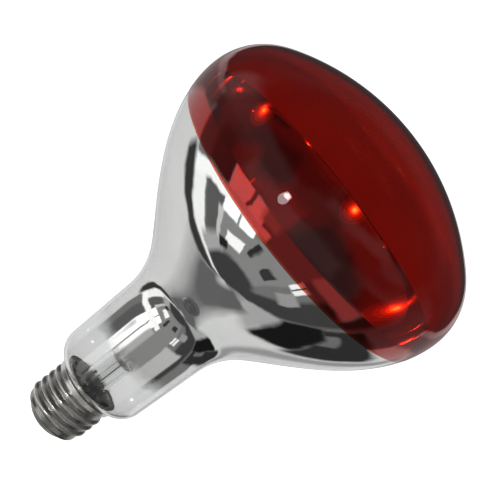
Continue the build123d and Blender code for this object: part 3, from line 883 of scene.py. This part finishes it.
# The patches are mixed one over another by the direction a ray looks in; the camera itself sees plain white.
def makeSky():
    world = bpy.data.worlds.new("studioSky")
    scene.world = world
    world.use_nodes = True
    tree = world.node_tree
    background = tree.nodes["Background"]
    background.inputs["Color"].default_value = (1, 1, 1, 1)
    direction = tree.nodes.new("ShaderNodeTexCoord").outputs["Generated"]
    waves = tree.nodes.new("ShaderNodeTexNoise")
    waves.inputs["Scale"].default_value = skyWarp["scale"]
    waves.inputs["Detail"].default_value = skyWarp["detail"]
    tree.links.new(direction, waves.inputs["Vector"])
    bend = tree.nodes.new("ShaderNodeVectorMath")
    bend.operation = "MULTIPLY_ADD"
    tree.links.new(waves.outputs["Color"], bend.inputs[0])
    bend.inputs[1].default_value = (skyWarp["reach"],) * 3
    tree.links.new(direction, bend.inputs[2])
    centred = tree.nodes.new("ShaderNodeVectorMath")
    centred.operation = "SUBTRACT"
    tree.links.new(bend.outputs["Vector"], centred.inputs[0])
    centred.inputs[1].default_value = (skyWarp["reach"] / 2,) * 3
    unit = tree.nodes.new("ShaderNodeVectorMath")
    unit.operation = "NORMALIZE"
    tree.links.new(centred.outputs["Vector"], unit.inputs[0])
    angles = {}
    for name, source in (("plain", direction), ("bent", unit.outputs["Vector"])):
        split = tree.nodes.new("ShaderNodeSeparateXYZ")
        tree.links.new(source, split.inputs["Vector"])
        compass = mathNode(tree, "ARCTAN2", split.outputs["X"], split.outputs["Y"])
        angles[name] = compass, mathNode(tree, "ARCSINE", split.outputs["Z"])
    shade = None
    for name, towards, rise, halfWide, halfHigh, edge, bright in skyPatches:
        compass, height = angles["plain" if bright > studio["bendBelow"] else "bent"]
        turn = mathNode(tree, "WRAP", mathNode(tree, "SUBTRACT", compass, np.radians(towards)), np.pi, -np.pi)
        lift = mathNode(tree, "SUBTRACT", height, np.radians(rise))
        mask = mathNode(tree, "MULTIPLY", angleWindow(tree, turn, halfWide, edge),
                        angleWindow(tree, lift, halfHigh, edge))
        node = tree.nodes.new("ShaderNodeMix")
        node.label = name
        tree.links.new(mask, node.inputs["Factor"])
        if shade is None:
            node.inputs["A"].default_value = studio["sky"]
        else:
            tree.links.new(shade, node.inputs["A"])
        node.inputs["B"].default_value = bright
        shade = node.outputs["Result"]
    path = tree.nodes.new("ShaderNodeLightPath")
    white = tree.nodes.new("ShaderNodeMix")
    tree.links.new(path.outputs["Is Camera Ray"], white.inputs["Factor"])
    tree.links.new(shade, white.inputs["A"])
    white.inputs["B"].default_value = 1
    tree.links.new(white.outputs["Result"], background.inputs["Strength"])


# Lamps of the studio: bearing, rise, distance, width and height. Each is a nest of ellipses, and a ring
# says how much wider it is and how bright; they show through the bulb's glass, but nothing mirrors them.
studioLamps = {
    "lampFront": (-163, 7, 3.0, 0.14, 0.25),
    "lampLeft": (-77, 11, 3.0, 0.15, 0.26),
    "lampRight": (97, 5, 3.0, 0.13, 0.2),
}
glowRings = [(1.0, 90.0), (1.7, 14.0), (2.6, 2.6), (3.8, 0.8), (5.4, 0.35), (7.5, 0.18)]
keyLamp = (-145, 42, 1.3, 0.5, 0.5, 15.0)  # with its brightness last
metalLamp = (-163, 0, 3.1, 0.36, 0.9, 6.0)


def makeLamp(name, bearing, rise, distance, wide, high, bright):
    lamp = bpy.data.lights.new(name, "AREA")
    lamp.shape = "ELLIPSE"
    lamp.size, lamp.size_y = wide, high
    lamp.energy = bright * np.pi * np.pi / 4 * wide * high
    holder = bpy.data.objects.new(name, lamp)
    bearing, rise = np.radians(bearing), np.radians(rise)
    away = Vector((np.sin(bearing) * np.cos(rise), np.cos(bearing) * np.cos(rise), np.sin(rise)))
    place = away * distance + Vector((0, 0, studio["lampAim"]))
    holder.matrix_world = Matrix.Translation(place) @ away.to_track_quat("Z", "Y").to_matrix().to_4x4()
    holder.visible_glossy = False
    scene.collection.objects.link(holder)
    return holder


def makeLamps():
    for name, (bearing, rise, distance, wide, high) in studioLamps.items():
        for number, (widening, bright) in enumerate(glowRings):
            apart = distance + 0.01 * number
            makeLamp(f"{name}{number}", bearing, rise, apart, wide * widening, high * widening, bright)
    makeLamp("keyLamp", *keyLamp).visible_transmission = False
    # the metal mirrors this one, and it isn't seen through the glass
    glint = makeLamp("metalLamp", *metalLamp)
    glint.visible_glossy = True
    glint.visible_transmission = False


# the camera looks a little down on the upright lamp and is rolled, so that the lamp lies along the view
cameraSetup = {
    "rise": 13.42, "distance": 0.600, "aimHeight": 0.127, "roll": 52.16, "lens": 121.6, "sensor": 36,
    "aside": 0.03114, "below": 0.01166,
}


def makeCamera():
    c = cameraSetup
    rise, roll = np.radians(c["rise"]), np.radians(c["roll"])
    ahead = Vector((0, np.cos(rise), -np.sin(rise)))
    up = Vector((0, np.sin(rise), np.cos(rise)))
    across = Vector((1, 0, 0))
    right = up * np.sin(roll) + across * np.cos(roll)
    above = up * np.cos(roll) - across * np.sin(roll)
    forward = (ahead - right * c["aside"] - above * c["below"]).normalized()
    above = (above - forward * above.dot(forward)).normalized()
    right = forward.cross(above)
    camera = bpy.data.cameras.new("studioCamera")
    camera.lens = c["lens"]
    camera.sensor_width = c["sensor"]
    holder = bpy.data.objects.new("studioCamera", camera)
    turn = Matrix((right, above, -forward)).transposed().to_4x4()
    holder.matrix_world = Matrix.Translation(Vector((0, 0, c["aimHeight"])) - ahead * c["distance"]) @ turn
    scene.collection.objects.link(holder)
    scene.camera = holder


print("studio")
makeFloor()
makeSky()
makeLamps()
makeCamera()
scene.view_settings.view_transform = "Standard"
